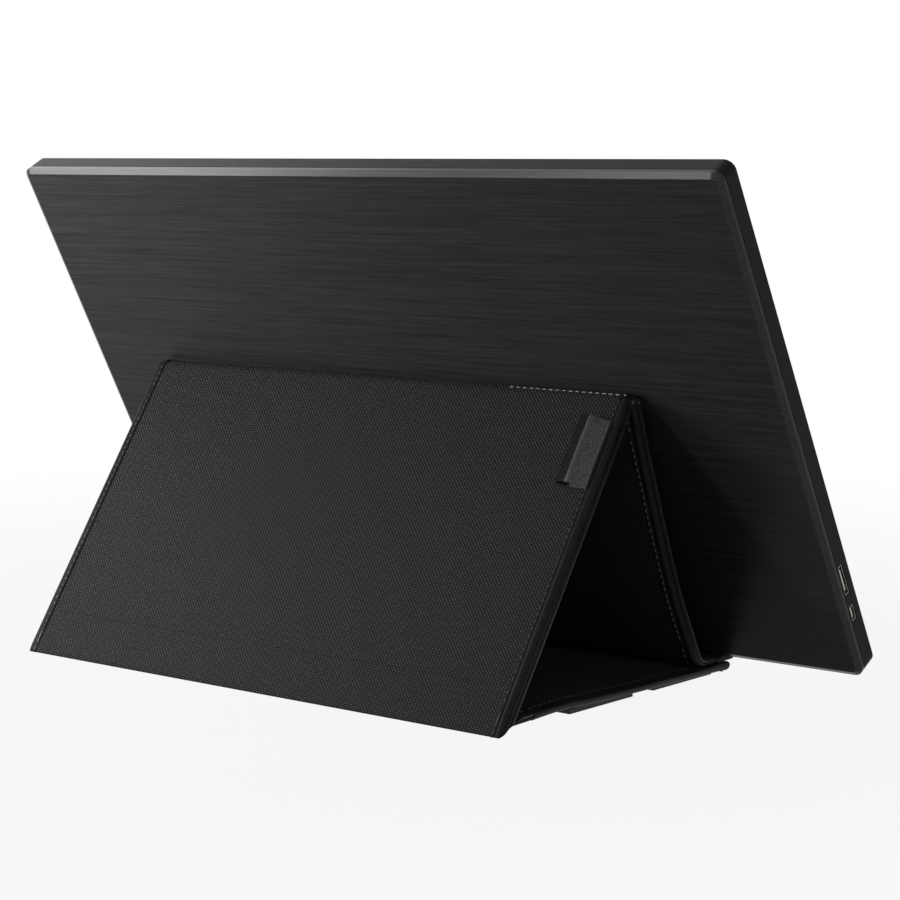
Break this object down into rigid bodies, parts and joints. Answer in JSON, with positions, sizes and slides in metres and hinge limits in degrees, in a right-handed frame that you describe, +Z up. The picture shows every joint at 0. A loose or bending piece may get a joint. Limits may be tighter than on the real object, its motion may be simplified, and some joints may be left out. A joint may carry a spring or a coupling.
{
  "type": "portable monitor with cover",
  "caption": "Slim portable monitor leaning on its padded fabric cover, folded into a triangular prism stand with a foot and lip under the screen.",
  "frame": {"origin": "on the desk, under the middle of the bounding box", "axes": "+X along the screen's width, to the right for someone who looks at the screen; +Y to the rear, away from the screen's face; +Z up"},
  "size_m": [0.382, 0.1732, 0.2205],
  "materials": {
    "stiffener": "plain",
    "padding": "soft foam",
    "weave": "ballistic weave",
    "lining": "smooth",
    "binding": "satin, fine grain",
    "tag_leather": "satin, fine grain",
    "magnet_steel": "plated",
    "grip_rubber": "matte",
    "back_housing": "brushed lines across the width",
    "front_housing": "satin",
    "screen": "anti-glare",
    "films": "plain",
    "guide": "clear",
    "led_strip": "plain",
    "tray_metal": "plain",
    "foam_tape": "soft foam",
    "circuit": "solder mask",
    "flex_film": "gloss",
    "screw_steel": "plated",
    "port_steel": "plated",
    "key_plastic": "satin"
  },
  "bodies": {
    "base": {"base_board": "stiffener", "base_shell": "weave", "base_lining": "lining", "base_binding": "binding", "base_magnets": "magnet_steel", "grip_pads": "grip_rubber"},
    "rear_panel": {"rear_board": "stiffener", "rear_foam": "padding", "rear_shell": "weave", "rear_lining": "lining", "rear_binding": "binding", "heel_fold": "weave", "apex_fold": "weave", "label_tag": "tag_leather"},
    "support_panel": {"support_board": "stiffener", "support_foam": "padding", "support_shell": "weave", "support_lining": "lining", "support_binding": "binding"},
    "foot": {"foot_board": "stiffener", "foot_sleeve": "weave", "foot_binding": "binding", "foot_magnets": "magnet_steel"},
    "lip": {"lip_board": "stiffener", "lip_sleeve": "weave", "lip_binding": "binding"},
    "monitor": {"rear_cover": "back_housing", "front_frame": "front_housing", "screen_glass": "screen", "film_stack": "films", "light_guide": "guide", "led_bar": "led_strip", "panel_tray": "tray_metal", "foam_strips": "foam_tape", "panel_driver": "circuit", "panel_flex": "flex_film", "main_board": "circuit", "board_screws": "screw_steel", "shield_can": "port_steel", "data_port": "port_steel", "video_port": "port_steel", "key_board": "circuit", "key_flex": "flex_film"},
    "power_key": {"power_key": "key_plastic"},
    "up_key": {"up_key": "key_plastic"},
    "down_key": {"down_key": "key_plastic"}
  },
  "joints": [
    {"name": "rear_fold", "type": "hinge", "parent": "base", "child": "rear_panel", "pos_m": [0.011, 0.0773, 0.0051], "axis": [1, 0, 0], "range_deg": [0, 42]},
    {"name": "apex_fold_turn", "type": "hinge", "parent": "rear_panel", "child": "support_panel", "pos_m": [0.011, -0.00092, 0.12073], "axis": [1, 0, 0], "range_deg": [-94.5, 0]},
    {"name": "foot_fold", "type": "hinge", "parent": "support_panel", "child": "foot", "pos_m": [0.011, -0.0533, 0.00855], "axis": [1, 0, 0], "range_deg": [0, 52.5]},
    {"name": "lip_fold", "type": "hinge", "parent": "foot", "child": "lip", "pos_m": [0.011, -0.07649, 0.00855], "axis": [1, 0, 0], "range_deg": [0, 54]},
    {"name": "monitor_lift", "type": "slide", "parent": "support_panel", "child": "monitor", "axis": [0, 0.4801, 0.8772], "range_m": [0, 0.13]},
    {"name": "power_key_press", "type": "slide", "parent": "monitor", "child": "power_key", "axis": [0, 0.8772, -0.4801], "range_m": [0, 0.0005], "stiffness_N_per_m": 2500, "springref_m": -0.0001},
    {"name": "up_key_press", "type": "slide", "parent": "monitor", "child": "up_key", "axis": [0, 0.8772, -0.4801], "range_m": [0, 0.0005], "stiffness_N_per_m": 2500, "springref_m": -0.0001},
    {"name": "down_key_press", "type": "slide", "parent": "monitor", "child": "down_key", "axis": [0, 0.8772, -0.4801], "range_m": [0, 0.0005], "stiffness_N_per_m": 2500, "springref_m": -0.0001}
  ],
  "couplings": [
    {"joint": "apex_fold_turn", "follows": "rear_fold", "ratio": -2.25},
    {"joint": "foot_fold", "follows": "rear_fold", "ratio": 1.25}
  ]
}
